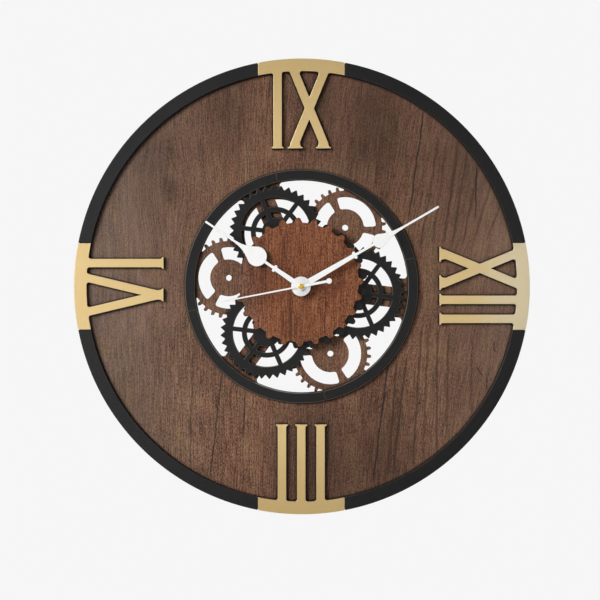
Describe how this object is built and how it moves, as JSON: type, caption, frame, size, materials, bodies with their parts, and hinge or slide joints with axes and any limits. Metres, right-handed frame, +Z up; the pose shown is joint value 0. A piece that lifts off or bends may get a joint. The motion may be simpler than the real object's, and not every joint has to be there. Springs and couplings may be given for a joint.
{
  "type": "wall clock",
  "caption": "Round wooden wall clock with gold numerals, a black rim, decorative cut-out gears round the hub and a battery movement that turns its white hands.",
  "frame": {"origin": "on the hand axis, in the plane of the wall that the movement's back rests on", "axes": "+Z up with the numeral nine at the top, +X to the right seen from the front, +Y into the wall, so the face looks along -Y"},
  "size_m": [0.3, 0.0402, 0.3],
  "materials": {
    "walnut": "satin dark walnut laminate with vertical grain",
    "hub_wood": "satin reddish brown wood with vertical grain",
    "black_board": "satin black with sharp cut edges",
    "gold": "satin gold sheet with fine brushing",
    "white_metal": "white enamel on thin sheet",
    "brass": "turned",
    "case_plastic": "moulded black plastic",
    "train_plastic": "moulded nylon",
    "steel": "stamped and plated",
    "copper": "enamelled copper wire",
    "magnet": "sintered magnet",
    "board_green": "printed circuit board",
    "chip_black": "epoxy drop over the chip",
    "battery_label": "plain printed sleeve with bright ends",
    "rubber": "soft rubber"
  },
  "bodies": {
    "face": {"back_panel": "walnut", "hub_gear": "hub_wood", "rim_arc_upper_right": "black_board", "rim_arc_upper_left": "black_board", "rim_arc_lower_left": "black_board", "rim_arc_lower_right": "black_board", "inner_ring_right": "black_board", "inner_ring_top": "black_board", "inner_ring_left": "black_board", "inner_ring_bottom": "black_board", "black_gear_upper_left": "black_board", "black_gear_lower_left": "black_board", "black_gear_right": "black_board", "hub_backing_gear": "black_board", "numeral_nine": "gold", "numeral_twelve": "gold", "numeral_three": "gold", "numeral_six": "gold", "threaded_bush": "brass", "brass_washer": "brass", "hex_nut": "brass", "movement_case": "case_plastic", "movement_cover": "case_plastic", "coil_bobbin": "train_plastic", "hanger_plate": "steel", "motion_stud": "steel", "stator": "steel", "coil_core": "steel", "battery_plus_contact": "steel", "battery_minus_contact": "steel", "quartz_crystal": "steel", "coil_winding": "copper", "circuit_board": "board_green", "driver_chip": "chip_black", "battery_cell": "battery_label", "rubber_washer": "rubber"},
    "second_hand": {"second_hand": "white_metal", "second_hand_cap": "brass", "second_arbor": "steel", "second_wheel": "train_plastic"},
    "rotor": {"rotor_pinion": "train_plastic", "rotor_magnet": "magnet"},
    "idler": {"idler_wheel": "train_plastic"},
    "third": {"third_wheel": "train_plastic"},
    "centre": {"centre_wheel": "train_plastic"},
    "minute_hand": {"minute_hand": "white_metal", "minute_pipe": "brass", "clutch_spring": "steel"},
    "motion": {"motion_wheel": "train_plastic"},
    "hour_hand": {"hour_hand": "white_metal", "hour_wheel": "train_plastic"},
    "setting_knob": {"setting_knob": "case_plastic"}
  },
  "joints": [
    {"name": "second_hand_turn", "type": "hinge", "parent": "face", "child": "second_hand", "pos_m": [0, 0, 0], "axis": [0, 1, 0], "continuous": true},
    {"name": "rotor_turn", "type": "hinge", "parent": "face", "child": "rotor", "pos_m": [0.01454, 0, 0.00647], "axis": [0, 1, 0], "continuous": true},
    {"name": "idler_turn", "type": "hinge", "parent": "face", "child": "idler", "pos_m": [0.00745, 0, 0.00522], "axis": [0, 1, 0], "continuous": true},
    {"name": "third_turn", "type": "hinge", "parent": "face", "child": "third", "pos_m": [-0.00869, 0, 0.00233], "axis": [0, 1, 0], "continuous": true},
    {"name": "centre_turn", "type": "hinge", "parent": "face", "child": "centre", "pos_m": [0, 0, 0], "axis": [0, 1, 0], "continuous": true},
    {"name": "minute_hand_turn", "type": "hinge", "parent": "face", "child": "minute_hand", "pos_m": [0, 0, 0], "axis": [0, 1, 0], "continuous": true},
    {"name": "motion_turn", "type": "hinge", "parent": "face", "child": "motion", "pos_m": [0, 0, 0.008], "axis": [0, 1, 0], "continuous": true},
    {"name": "hour_hand_turn", "type": "hinge", "parent": "face", "child": "hour_hand", "pos_m": [0, 0, 0], "axis": [0, 1, 0], "continuous": true},
    {"name": "knob_turn", "type": "hinge", "parent": "face", "child": "setting_knob", "pos_m": [0, 0, 0.016], "axis": [0, 1, 0], "continuous": true}
  ],
  "couplings": [
    {"joint": "idler_turn", "follows": "second_hand_turn", "ratio": -6},
    {"joint": "rotor_turn", "follows": "second_hand_turn", "ratio": 30},
    {"joint": "third_turn", "follows": "second_hand_turn", "ratio": -0.13333},
    {"joint": "centre_turn", "follows": "second_hand_turn", "ratio": 0.016667},
    {"joint": "motion_turn", "follows": "minute_hand_turn", "ratio": -0.33333},
    {"joint": "hour_hand_turn", "follows": "minute_hand_turn", "ratio": 0.083333},
    {"joint": "knob_turn", "follows": "minute_hand_turn", "ratio": 1}
  ]
}
